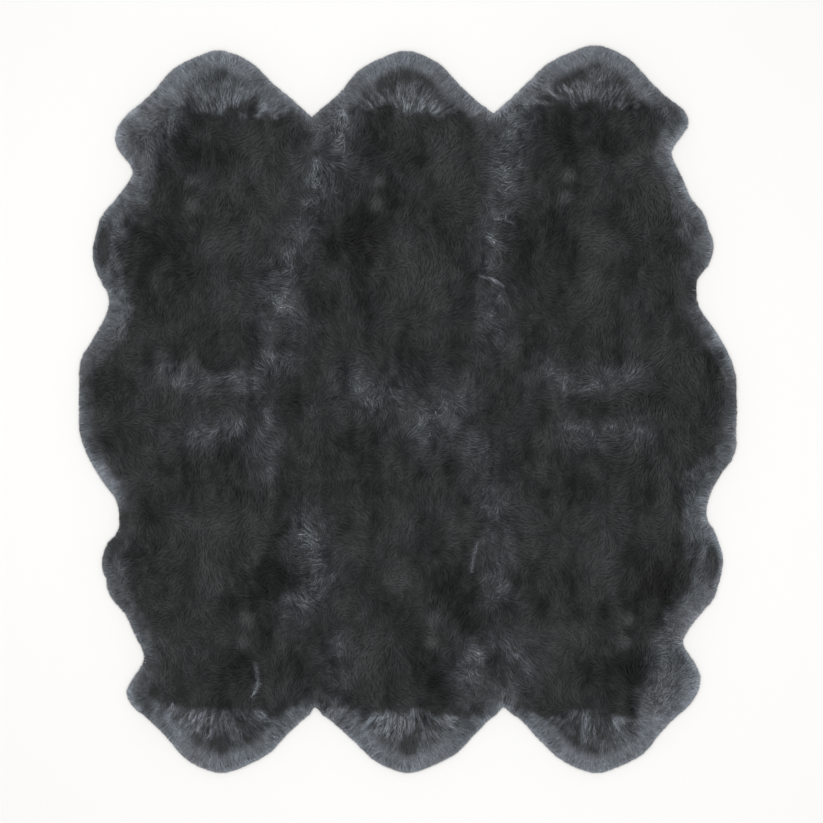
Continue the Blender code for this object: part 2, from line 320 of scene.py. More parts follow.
# Where the wool reaches further out than the locks of the solids.
FULLER = (
    # x, y, size, reach
    (-297, 778, 60, 7),
    (282, 808, 75, 11),
    (-284, -801, 80, 8),
    (-184, -801, 80, 9),
    (181, -801, 80, 9),
    (319, -827, 80, 10),
    (-745, -480, 60, 6),
    (-780, 199, 50, 5),
)

# Marks that every skin has: lighter and darker places in its pile, across and down
# from the tip of the neck.
SKIN_MARKS = (
    # across, down, size, lighter
    (-120, 478, 75, -0.8),
    (12, 490, 48, 0.7),
    (20, 620, 60, 0.7),
    (118, 302, 80, 0.5),
    (-63, 264, 60, -0.7),
    (43, 264, 38, -0.6),
    (-63, 332, 15, 2.2),
    (-70, 390, 17, 2.2),
)

# How runs are followed and fade, in half widths, how ruffled the broad ones are between
# patches and in them, and by what factors the wool leans with them.
RUN_STEP = 3 * MM
RUN_FADE = 1.2
RUFFLED_LEAST = 0.32
RUFFLED_MORE = 0.76
PATCHES = (-0.45, 0.55)
RUFFLE_GAIN = 2.4
PARTING_GAIN = 2.5

# Runs of ruffled wool, most of them where skins meet.
RUFFLES = {
    "upper left seam": (
        # x, y, half width, how ruffled
        (-180, 735, 36, 0.47), (-201, 614, 41, 0.40), (-226, 539, 31, 0.34),
        (-259, 426, 29, 0.23), (-327, 325, 31, 0.34), (-317, 212, 48, 0.32),
    ),
    "upper right seam": (
        (262, 735, 48, 0.36), (250, 600, 31, 0.28), (231, 489, 26, 0.28),
        (206, 388, 31, 0.28), (211, 275, 29, 0.29), (219, 174, 41, 0.18),
    ),
    "left row, upper": (
        (-599, 94, 29, 0.25), (-548, 69, 29, 0.30), (-485, 61, 24, 0.25),
        (-397, 74, 29, 0.28), (-320, 120, 36, 0.28),
    ),
    "left row, lower": ((-530, -62, 29, 0.27), (-423, -40, 29, 0.28)),
    "right row, upper": ((345, 94, 31, 0.28), (420, 64, 29, 0.25), (546, 79, 31, 0.28)),
    "right row, lower": ((412, -47, 26, 0.25), (483, -67, 29, 0.30), (584, -47, 29, 0.21)),
    "middle": (
        (-140, 66, 36, 0.27), (-96, 18, 41, 0.25), (-30, 20, 55, 0.23),
        (60, -50, 41, 0.32), (110, 20, 53, 0.19),
    ),
    "lower left seam": ((-352, 23, 24, 0.23), (-365, -77, 29, 0.21), (-347, -153, 24, 0.20)),
    "beside the lower left seam": (
        (-264, -279, 31, 0.29), (-241, -349, 41, 0.36), (-215, -424, 41, 0.38),
        (-272, -485, 36, 0.33),
    ),
    "lower right seam": (
        (170, -80, 29, 0.18), (210, -200, 29, 0.18), (228, -424, 29, 0.24),
        (240, -470, 29, 0.20),
    ),
    "lower right neck": (
        (148, -655, 31, 0.28), (168, -612, 34, 0.33), (215, -592, 26, 0.21),
        (269, -618, 31, 0.29), (288, -665, 31, 0.28), (274, -725, 26, 0.23),
    ),
    "above the lower left notch": ((-171, -590, 26, 0.15), (-175, -730, 29, 0.19)),
}

# Thin pale lines and arcs, where the wool parts; the pale is painted sheen.
PARTINGS = {
    "upper right seam line": ((211, 730, 6, 0.18), (209, 640, 6, 0.16), (207, 540, 6, 0.08)),
    "arc over the upper right seam": (
        (218, 475, 3, 0.56), (240, 475, 3, 0.84), (264, 461, 3, 0.56),
    ),
    "arc below it": ((180, 333, 3, 0.63), (208, 326, 3, 0.87), (238, 308, 3, 0.56)),
    "arc on the lower left neck": (
        (-382, -635, 3, 0.49), (-372, -680, 3, 0.84), (-382, -705, 3, 0.84),
        (-392, -722, 3, 0.56),
    ),
    "arc beside the lower right seam": (
        (172, -335, 3, 0.42), (161, -385, 3, 0.56), (158, -410, 3, 0.56),
    ),
}

# Noise in the marks, drawn out along the rug: its strength, the size of its bumps and
# its seed. The marks are fainter in the hollows and on the necks.
MARK_NOISES = ((0.72, 38 * MM, 41), (0.5, 12 * MM, 42))
DRAWN_OUT = 0.55
HOLLOW_MARKS_LESS = 0.8
NECK_MARKS_LESS = 0.7
FAINT_ON_NECK = (NECK_CAP, 80 * MM)
MARK_CONTRAST = 0.85

# Painted sheen at the outline: beside the notches and on the necks, where it is less
# towards a neighbour, and how far in it is full and fades.
SHOULDER_SHEEN = 0.55
NECK_EDGE_SHEEN = 0.86
NECK_EDGE_NOTCHWARD = -0.12
EDGE_SHEEN_WIDTH = 8 * MM
EDGE_SHEEN_FADE = 12 * MM

# How the band of painted sheen inside the outline ends, as shares of its width.
BAND_END = (1.15, 0.72)
BAND_RAGGED = 0.2

# Painted sheen on the necks: at the tip, inside, and what is added to it there by place.
NECK_TIP_SHEEN = 0.75
NECK_TIP_NOTCHWARD = -0.17
NECK_SHEEN = 0.30
NECK_SHEEN_BEHIND = 0.17
NECK_SHEEN_BLOTCHED = -0.32
NECK_SHEEN_STREAKED = 0.52
NECK_SHEEN_FLANKWARD = 0.2
BLOTCHES = (-0.3, 0.3)
CLUMPS = (-0.4, 0.3)
STREAK_RADIUS = 180 * MM
RIM_STREAKS = 0.18
# The painted sheen kept in the flaps' hollows: little, as painted shadow there.
HOLLOW_SHEEN = 0.11

# Noises in the wool: the size of their bumps, and their seeds.
RAGGED_NOISE = (26 * MM, 3)
BLOTCH_NOISE = (44 * MM, 5)
RIM_STREAK_NOISE = (7 * MM, 9)
NECK_STREAK_NOISE = (5.5 * MM, 17)
NECK_CLUMP_NOISE = (30 * MM, 19)
LAY_NOISES = ((100 * MM, 21), (100 * MM, 22))
PATCH_NOISE = (24 * MM, 31)
SWIRL_NOISE = (30 * MM, 51)
SLANT_NOISE = (35 * MM, 61)
UNEVEN_EDGE_NOISE = (9 * MM, 63)
FLEECE_NOISE = (24 * MM, 71)
WOOL_SEED = 7

# The colours: the wool's own dark, and the paler blue-grey painted sheen of wool that
# lies over and catches the light from the side. How the wool's changes along a tuft and
# from fibre to fibre.
WOOL_DARK = (0.0246, 0.0260, 0.0262)
WOOL_SHEEN = (0.172, 0.188, 0.212)
WARM_TINT = (1.00, 0.98, 0.975)
COOL_TINT = (0.96, 0.99, 1.00)
HIDE_COLOUR = (0.40, 0.34, 0.27)
THREAD_COLOUR = (0.10, 0.095, 0.09)
# Painted shade along a tuft: how light its tip is, how much darker its root is painted, and how
# much less so with painted sheen.
TIP_LIGHT = 1.04
ROOT_PAINTED_SHADE = 0.38
ROOT_SHADE_LESS_WITH_SHEEN = 0.28
FIBRE_STRETCH = (1, 1, 0.05)
FIBRE_CONTRAST = 2.4
SHEEN_CONTRAST = 1.6
# The fleece: a low base, painted shade deep in the pile, to which its grain and marks add.
FLEECE_IN_SHADE = 0.18
FLEECE_GRAIN = 0.9
FLEECE_CONTRAST = 0.6 * MARK_CONTRAST


# ---- plane geometry


def vertex_array(mesh):
    points = np.empty(len(mesh.vertices) * 3, np.float32)
    mesh.vertices.foreach_get("co", points)
    return points.reshape(-1, 3).astype(float)


def floor_outline(node):
    """The outline of a CAD node's underside, anticlockwise, as rows of (x, y)."""
    points = vertex_array(node.data)
    _, first, same = np.unique(np.round(points, 6), axis=0, return_index=True, return_inverse=True)
    same = same.ravel()
    sides = set()
    for face in node.data.polygons:
        if max(points[i][2] for i in face.vertices) < ON_FLOOR:
            corners = [same[i] for i in face.vertices]
            sides |= set(zip(corners, corners[1:] + corners[:1]))
    # The underside faces down, so its own sides run clockwise seen from above.
    after = {b: a for a, b in sides if (b, a) not in sides}
    start = min(after)
    line = [start]
    while after[line[-1]] != start:
        line.append(after[line[-1]])
    return points[first[line]][:, :2]


def lengths_along(line):
    return np.concatenate([[0], np.cumsum(np.linalg.norm(np.diff(line, axis=0), axis=1))])


def evenly_spaced(line, step):
    lengths = lengths_along(line)
    wanted = np.linspace(0, lengths[-1], max(2, round(lengths[-1] / step) + 1))
    return np.column_stack([np.interp(wanted, lengths, line[:, k]) for k in (0, 1)])


def smoothed(line, rounds):
    """The line with its corners rounded off. Its ends stay."""
    line = line.copy()
    for _ in range(rounds):
        line[1:-1] = (line[:-2] + 2 * line[1:-1] + line[2:]) / 4
    return line


def left_of(ways):
    return np.column_stack([-ways[:, 1], ways[:, 0]])


def left_normals(line):
    return unit(left_of(np.gradient(line, axis=0)))


def inside_polygon(points, polygon):
    x, y = points.T
    found = np.zeros(len(points), bool)
    for (ax, ay), (bx, by) in zip(polygon, np.roll(polygon, -1, axis=0)):
        if ay != by:
            found ^= ((ay > y) != (by > y)) & (x < (bx - ax) * (y - ay) / (by - ay) + ax)
    return found


def tree_of(points):
    tree = KDTree(len(points))
    for i, (x, y) in enumerate(points):
        tree.insert((x, y, 0), i)
    tree.balance()
    return tree


def nearest(tree, points):
    """The index of the nearest point in the tree, and the distance to it, for each point."""
    index, distance = zip(*(tree.find((x, y, 0))[1:] for x, y in points))
    return np.array(index), np.array(distance)


def jittered_grid(around, pitch, jitter, rng):
    """Staggered rows of points over the box around some points, each moved a little."""
    low, high = around.min(axis=0), around.max(axis=0)
    rows = []
    for row, y in enumerate(np.arange(low[1], high[1], pitch * math.sqrt(3) / 2)):
        x = np.arange(low[0] + (row % 2) * pitch / 2, high[0], pitch)
        rows.append(np.column_stack([x, np.full(len(x), y)]))
    grid = np.vstack(rows)
    return grid + rng.uniform(-jitter, jitter, grid.shape) * pitch


def smooth_step(value, start, end):
    """From 0 at start to 1 at end, which may be the lower one, without corners."""
    t = np.clip((value - start) / (end - start), 0, 1)
    return t * t * (3 - 2 * t)


def soft_noise(points, size, seed):
    """Smooth noise from -1 to 1 over the floor, with bumps of about the given size."""
    cells = 64
    lattice = np.random.default_rng(seed).uniform(-1, 1, (cells, cells))
    place = points / size + seed * 0.37
    low = np.floor(place).astype(int)
    fx, fy = (t * t * (3 - 2 * t) for t in (place - low).T)
    x, y = low.T % cells
    x1, y1 = (x + 1) % cells, (y + 1) % cells
    bottom = lattice[x, y] * (1 - fx) + lattice[x1, y] * fx
    top = lattice[x, y1] * (1 - fx) + lattice[x1, y1] * fx
    return bottom * (1 - fy) + top * fy


def rough_noise(points, size, seed):
    """Noise with finer bumps on its bumps."""
    layers = [soft_noise(points, size / 2**k, seed + 11 * k) / 2**k for k in range(3)]
    return sum(layers) / 1.4


def unit(vectors):
    return vectors / np.maximum(np.linalg.norm(vectors, axis=-1, keepdims=True), 1e-9)


# ---- the skins


def lock_tips(line):
    """The ends of a zigzag line and those of its points that stick out to the right."""
    before, here, after = line[:-2], line[1:-1], line[2:]
    chord, reach = after - before, here - before
    outside = chord[:, 0] * reach[:, 1] - chord[:, 1] * reach[:, 0] < 0
    return np.vstack([line[:1], here[outside], line[-1:]])


class Skin:
    """What the frame says of one skin: its outline, its free edge, its seams and its pile."""

    def __init__(self, node_name, node, others):
        self.node = node_name
        self.name = node_name.removeprefix("skin_")
        outline = floor_outline(node)
        _, distance = nearest(tree_of(others), outline)
        sewn = distance < SEWN_WITHIN
        start = next(i for i in range(len(sewn)) if sewn[i] and not sewn[(i + 1) % len(sewn)])
        outline, sewn = np.roll(outline, -start, axis=0), np.roll(sewn, -start)
        end = next(i for i in range(1, len(sewn)) if sewn[i])
        self.seam = np.vstack([outline[end:], outline[:1]])
        edge = evenly_spaced(lock_tips(outline[: end + 1]), EDGE_STEP)
        self.edge = smoothed(edge, EDGE_ROUNDING)
        self.seam_fine = evenly_spaced(self.seam, SEAM_STEP)
        self.seam_tree = tree_of(self.seam_fine)
        self.seam_inward = left_normals(self.seam_fine)
        self.outward = self.ways_off(-left_normals(self.edge))
        for x, y, size, reach in FULLER:
            square = (((self.edge / MM - [x, y]) / size) ** 2).sum(axis=1)
            fuller = reach * MM * np.exp(-square) * self.inside_ends()
            self.edge = self.edge + fuller[:, None] * self.outward
        self.edge_tree = tree_of(self.edge)
        self.shape = np.vstack([self.edge, self.seam[1:-1]])
        points = [Vector(p) for p in vertex_array(node.data)]
        self.solid = BVHTree.FromPolygons(points, [tuple(f.vertices) for f in node.data.polygons])
        self.turn = -1 if outline[:, 1].mean() < 0 else 1
        self.neck_tip = self.edge[np.argmax(self.turn * self.edge[:, 1])]
        self.fan_centre = self.neck_tip - [0, self.turn * NECK_FAN_CENTRE]

    def rim(self, points):
        """The index of the nearest point of the free edge, and the distance to it."""
        return nearest(self.edge_tree, points)

    def inside_ends(self):
        """0 at the ends of the free edge, where it meets a seam, and 1 well away from them."""
        along = lengths_along(self.edge)
        return smooth_step(np.minimum(along, along[-1] - along), 0, NOTCH_REACH)

    def ways_off(self, normals):
        """The way off the skin at the free edge: square to it, but along the seam at its ends."""
        first_half = (np.arange(len(self.edge)) < len(self.edge) / 2)[:, None]
        seam = self.seam_fine
        from_last = unit(seam[-1] - seam[-1 - SEAM_END_STEPS])
        from_first = unit(seam[0] - seam[SEAM_END_STEPS])
        along_seam = np.where(first_half, from_last, from_first)
        square = self.inside_ends()[:, None]
        return unit(normals * square + along_seam * (1 - square))

    def way_out(self, points, index, distance):
        """The way to the free edge: straight to its nearest point, but off the skin close by."""
        straight = unit(self.edge[index] - points)
        near = smooth_step(distance, *OFF_THE_SKIN)[:, None]
        return unit(straight * (1 - near) + self.outward[index] * near)

    def fleece_height(self, points):
        """The top of the mass of fleece, which the tufts stand out of, over the floor."""
        _, distance = self.rim(points)
        lumpy = 1 + FLEECE_LUMPS * rough_noise(points, *FLEECE_NOISE)
        share = FLEECE_SHARE * lumpy * smooth_step(distance, *FLEECE_RISE) ** FLEECE_ROUNDNESS
        deep = self.pile_height(points, distance) - FLEECE_FLOOR
        return FLEECE_FLOOR + np.maximum(np.minimum(share * deep, deep - SHOWN), FLEECE_LEAST)

    def down_neck(self, points):
        """How far along the skin each point lies from the tip of the neck."""
        return self.turn * (self.neck_tip[1] - points[:, 1])

    def down_to_cap(self, points):
        """The same, unevenly, so that what ends at a given depth ends in a ragged line."""
        return self.down_neck(points) - CAP_RAGGED * rough_noise(points, *RAGGED_NOISE)

    def on_flank(self, points):
        """1 on the flank's side of the neck, 0 on a neighbour's. A middle skin has no flank."""
        side = np.sign(self.neck_tip[0]) * (abs(self.neck_tip[0]) > OUTER_NECK)
        return smooth_step(side * (points[:, 0] - self.neck_tip[0]), *FLANKWARD)

    def pile_height(self, points, rim_distance):
        """The height of the wool at each point: the solid's, with a lip along the free edge.

        The wool closes over the seams, so beside one the height is read further from it.
        """
        index, _ = nearest(self.seam_tree, points)
        inward = self.seam_inward[index]
        inside = ((points - self.seam_fine[index]) * inward).sum(axis=1)
        away = np.clip(FURROW_FILLED - inside, 0, None)
        away *= smooth_step(rim_distance, *SEAM_FROM_RIM)
        moved = points + away[:, None] * inward
        down = Vector((0, 0, -1))
        hits = (self.solid.ray_cast(Vector((x, y, 1)), down)[0] for x, y in moved)
        solid = np.array([hit.z if hit else 0 for hit in hits])
        edge, full = LIP_HEIGHT
        rise = np.sin(np.clip(rim_distance / LIP_WIDTH, 0, 1) * math.pi / 2)
        lip = (edge + (full - edge) * rise) * smooth_step(rim_distance, 3 * LIP_WIDTH, LIP_WIDTH)
        return np.maximum(solid, lip)


def read_skins(nodes):
    outlines = {name: floor_outline(node) for name, node in nodes.items()}
    skins = []
    for name, node in sorted(nodes.items()):
        others = np.vstack([line for other, line in outlines.items() if other != name])
        skins.append(Skin(name, node, others))
    return skins


# ---- frost


def side_sheen(points):
    """Painted sheen at the outline, painted sheen in the band, and the band's width,
    beside each point.
    """
    x, y = points.T / MM
    share = smooth_step(x, *MIDDLE_COLUMN)
    columns = []
    for column in (1, 2, 3):
        left, right = (
            np.interp(y, [row[0] for row in table[::-1]], [row[column] for row in table[::-1]])
            for table in (LEFT_SHEEN, RIGHT_SHEEN)
        )
        columns.append(left * (1 - share) + right * share)
    return columns[0], columns[1], columns[2] * MM


def near_hollows(points, enlarged, start, end):
    """1 in the flaps' hollows, which are so much enlarged, and 0 away from them."""
    total = np.zeros(len(points))
    for x, y, *halves in HOLLOWS:
        away = (points / MM - [x, y]) / np.multiply(enlarged, halves)
        total += smooth_step(np.linalg.norm(away, axis=1), start, end)
    return total


def run_tree(runs):
    """Points along runs in a tree, with their half widths, their strengths and the ways they go."""
    points, facts = [], []
    for run in runs:
        rows = np.array(run, float) * [MM, MM, MM, 1]
        lengths = lengths_along(rows[:, :2])
        wanted = np.arange(0, lengths[-1] + RUN_STEP, RUN_STEP)
        fine = np.column_stack([np.interp(wanted, lengths, column) for column in rows.T])
        ways = unit(np.gradient(fine[:, :2], axis=0))
        points.append(fine[:, :2])
        facts.append(np.column_stack([fine[:, 2:], ways]))
    return tree_of(np.vstack(points)), np.vstack(facts)


def along_runs(points, tree, facts):
    """How strong the nearest run is at each point, and which way it goes."""
    index, distance = nearest(tree, points)
    width, strength = facts[index, :2].T
    return strength * np.exp(-((distance / width / RUN_FADE) ** 2)), facts[index, 2:]


def ruffled(points, runs):
    """How ruffled the wool is at each point: in patches along the broad runs."""
    patches = smooth_step(rough_noise(points, *PATCH_NOISE), *PATCHES)
    return along_runs(points, *runs["ruffles"])[0] * (RUFFLED_LEAST + RUFFLED_MORE * patches)


def marks_of(skin, points):
    """How much lighter, or darker, the pile is at each point than elsewhere."""
    across = skin.turn * (points[:, 0] - skin.neck_tip[0])
    down = skin.down_neck(points)
    place = points * [1, DRAWN_OUT]
    total = sum(strength * rough_noise(place, *noise) for strength, *noise in MARK_NOISES)
    total *= 1 - HOLLOW_MARKS_LESS * near_hollows(points, *IN_HOLLOW)
    total *= 1 - NECK_MARKS_LESS * smooth_step(down, *FAINT_ON_NECK)
    for u, v, size, lighter in SKIN_MARKS:
        square = ((across - u * MM) ** 2 + (down - v * MM) ** 2) / (size * MM) ** 2
        total += lighter * np.exp(-square)
    return total


def painted_sheen_of(skin, points, runs):
    """How much painted sheen the wool gets at each point, from 0 to 1."""
    index, distance = skin.rim(points)
    ruffles = np.maximum(ruffled(points, runs), along_runs(points, *runs["partings"])[0])
    down = skin.down_neck(points)
    edge, band, width = side_sheen(points)
    flank = skin.on_flank(points)
    band = band * flank
    edge = SHOULDER_SHEEN + (edge - SHOULDER_SHEEN) * flank
    shoulder = smooth_step(np.abs(points[:, 0] - skin.neck_tip[0]), *SHOULDERS)
    flankward, notchward = shoulder * flank, shoulder * (1 - flank)
    neck_edge = NECK_EDGE_SHEEN + NECK_EDGE_NOTCHWARD * notchward
    edge = edge + (neck_edge - edge) * smooth_step(down, *EDGE_ON_NECK)
    width = width * (1 + BAND_RAGGED * rough_noise(points, *RAGGED_NOISE))
    band_start, band_end = BAND_END
    band = band * smooth_step(distance, band_start * width, band_end * width)
    beyond = np.clip(distance - EDGE_SHEEN_WIDTH, 0, None)
    outer = (edge - band) * np.exp(-beyond / EDGE_SHEEN_FADE)

    # On the neck the painted sheen is smooth and pale at the tip, then blotched, then streaked.
    cap = smooth_step(skin.down_to_cap(points), *SHEEN_ON_NECK)
    blotch = smooth_step(rough_noise(points, *BLOTCH_NOISE), *BLOTCHES)
    behind = smooth_step(down, *BEHIND_TIP)
    inner = NECK_SHEEN + NECK_SHEEN_BEHIND * behind + NECK_SHEEN_BLOTCHED * blotch
    inner += NECK_SHEEN_STREAKED * neck_streaks(skin, points) * behind
    inner += NECK_SHEEN_FLANKWARD * flankward
    tip = NECK_TIP_SHEEN + NECK_TIP_NOTCHWARD * notchward
    neck = cap * (inner + (tip - inner) * smooth_step(distance, *TIP_BAND))
    rim_place = np.column_stack([index * EDGE_STEP, distance / 4])
    rim_streaks = 1 + RIM_STREAKS * soft_noise(rim_place, *RIM_STREAK_NOISE)
    painted_sheen = (np.maximum(band, neck) + np.clip(outer - neck, 0, None)) * rim_streaks
    # In the hollows the painted sheen is taken down to a little: painted shadow there.
    painted_sheen = painted_sheen + (HOLLOW_SHEEN - painted_sheen) * near_hollows(points, *IN_HOLLOW)
    return np.clip(painted_sheen + ruffles * (1 - painted_sheen), 0, 1)


def neck_streaks(skin, points):
    """Noise from -1 to 1 in long streaks that fan out from behind the neck."""
    away = points - skin.fan_centre
    radius = np.linalg.norm(away, axis=1)
    angle = np.arctan2(away[:, 1], away[:, 0])
    place = np.column_stack([angle * STREAK_RADIUS, radius / 3])
    clumps = smooth_step(rough_noise(points, *NECK_CLUMP_NOISE), *CLUMPS)
    return soft_noise(place, *NECK_STREAK_NOISE) * (0.5 + 0.7 * clumps)


# ---- meshes and pieces


def mesh_piece(name, points, triangles, smooth, material, attributes=(), normals=None):
    """A mesh object of triangles, from arrays of points, corner indices and what is smooth."""
    mesh = bpy.data.meshes.new(name)
    mesh.vertices.add(len(points))
    mesh.vertices.foreach_set("co", np.asarray(points, np.float32).ravel())
    mesh.loops.add(3 * len(triangles))
    mesh.loops.foreach_set("vertex_index", np.asarray(triangles, np.int32).ravel())
    mesh.polygons.add(len(triangles))
    mesh.polygons.foreach_set("loop_start", np.arange(0, 3 * len(triangles), 3, dtype=np.int32))
    mesh.update(calc_edges=True)
    mesh.polygons.foreach_set("use_smooth", np.full(len(triangles), smooth))
    for label, kind, values in attributes:
        attribute = mesh.attributes.new(label, kind, "POINT")
        field = "vector" if kind == "FLOAT_VECTOR" else "value"
        attribute.data.foreach_set(field, np.asarray(values, np.float32).ravel())
    if normals is not None:
        mesh.normals_split_custom_set_from_vertices(normals.tolist())
    mesh.materials.append(material)
    piece = bpy.data.objects.new(name, mesh)
    bpy.context.scene.collection.objects.link(piece)
    return piece


def filled(outline, inner):
    """Triangles, anticlockwise from above, that fill the outline through the inner points."""
    points = [Vector(p) for p in np.vstack([outline, inner])]
    count = len(outline)
    sides = [(i, (i + 1) % count) for i in range(count)]
    made = delaunay_2d_cdt(points, sides, [], 1, 1e-7)
    return np.array(made[0])[:, :2], np.array(made[2])


def at_height(points, height):
    return np.column_stack([points, np.broadcast_to(height, len(points))])


def closed_slab(outline, inner, top, bottom):
    """Points and triangles of a closed slab, and which of the triangles are on top.

    Its top is worked out from the points. Its flat side below has none inside the outline.
    """
    upper, upper_faces = filled(outline, inner)
    lower, lower_faces = filled(outline, inner[:0])
    count = len(upper)
    points = np.vstack([at_height(upper, top(upper)), at_height(lower, bottom)])
    start = np.arange(len(outline))
    after = np.roll(start, -1)
    walls = [
        np.column_stack([start, start + count, after + count]),
        np.column_stack([start, after + count, after]),
    ]
    faces = np.vstack([upper_faces, lower_faces[:, ::-1] + count, *walls])
    return points, faces, np.arange(len(faces)) < len(upper_faces)


def inset_outline(skin, inset, ragged, clearance, pitch, seed):
    """The skin's outline, drawn in unevenly at the free edge and by the clearance at the seams."""
    drawn_in = inset * (NOTCH_INSET + (1 - NOTCH_INSET) * skin.inside_ends())
    edge = smoothed(skin.edge - drawn_in[:, None] * skin.outward, INSET_ROUNDING)
    edge = evenly_spaced(edge, pitch)
    index, distance = skin.rim(edge)
    clear = distance > INSET_KEPT * drawn_in[index]
    clear &= nearest(skin.seam_tree, edge)[1] > INSET_TO_SEAM
    edge = edge[clear & inside_polygon(edge, skin.shape)]
    wave = ragged * rough_noise(edge, INSET_WAVES, seed)
    edge = edge + wave[:, None] * skin.outward[skin.rim(edge)[0]]
    seam = evenly_spaced(skin.seam, pitch)
    seam = seam + clearance * left_normals(seam)
    return np.vstack([edge, seam[skin.rim(seam)[1] > NOTCH_INSET * inset]])


def inner_grid(outline, pitch, seed):
    """Jittered points inside an outline, clear of its sides."""
    points = jittered_grid(outline, pitch, INNER_JITTER, np.random.default_rng(seed))
    points = points[inside_polygon(points, outline)]
    closed = evenly_spaced(np.vstack([outline, outline[:1]]), pitch / 2)
    return points[nearest(tree_of(closed), points)[1] > 0.5 * pitch]


def dress(piece):
    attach(piece, "root")


def make_hide(skin, material, seed):
    outline = inset_outline(skin, HIDE_INSET, HIDE_RAGGED, SEAM_CLEARANCE, HIDE_PITCH / 3, seed)
    inner = inner_grid(outline, HIDE_PITCH, seed)
    slab = closed_slab(outline, inner, lambda _: HIDE_LIFT + HIDE_THICKNESS, HIDE_LIFT)
    piece = mesh_piece("hide_" + skin.name, *slab, material)
    dress(piece)


def make_fleece(skin, runs, material, seed):
    outline = inset_outline(skin, FLEECE_INSET, 0, -FLEECE_LAP, FLEECE_PITCH, seed)
    inner = inner_grid(outline, FLEECE_PITCH, seed)
    points, faces, on_top = closed_slab(outline, inner, skin.fleece_height, FLEECE_FLOOR)
    places = points[:, :2]
    attributes = [
        ("painted_sheen", "FLOAT", painted_sheen_of(skin, places, runs)),
        ("marks", "FLOAT", marks_of(skin, places)),
    ]
    piece = mesh_piece("fleece_" + skin.name, points, faces, on_top, material, attributes)
    dress(piece)


# ---- wool


def staples(points, seed):
    """The way from each point to the middle of its staple, and that staple's number, -1 to 1."""
    rng = np.random.default_rng(seed)
    middles = jittered_grid(points, STAPLE_PITCH, STAPLE_JITTER, rng)
    index, _ = nearest(tree_of(middles), points)
    return middles[index] - points, rng.uniform(-1, 1, len(middles))[index]


def lay_of(skin, points):
    """The slowly turning way in which the wool lies, mostly tailward, in lengths up to 1."""
    way = np.column_stack([rough_noise(points, *noise) for noise in LAY_NOISES])
    _, from_seam = nearest(skin.seam_tree, points)
    way[:, 1] -= TAILWARD * skin.turn * smooth_step(from_seam, *TAILWARD_FROM_SEAM)
    length = np.linalg.norm(way, axis=1)
    return unit(way) * np.clip(LAY_GAIN * length, *LAY_LENGTH)[:, None]


def lying(skin, points):
    """From 0 where the wool stands to 1 where it lies over: at the free edge and on the neck."""
    rim = smooth_step(skin.rim(points)[1], *LYING_AT_RIM)
    neck = smooth_step(skin.down_to_cap(points), *LYING_ON_NECK)
    return np.maximum(rim, neck)


def tuft_tips(skin, rng):
    """Where the tips of the tufts are on the floor plane, closer together where they lie over."""
    kept = []
    for pitch, wants_lying in ((STANDING_PITCH, False), (LYING_PITCH, True)):
        tips = jittered_grid(skin.shape, pitch, TUFT_JITTER, rng)
        tips = tips[inside_polygon(tips, skin.shape)]
        kept.append(tips[(lying(skin, tips) > 0.5) == wants_lying])
    return kept


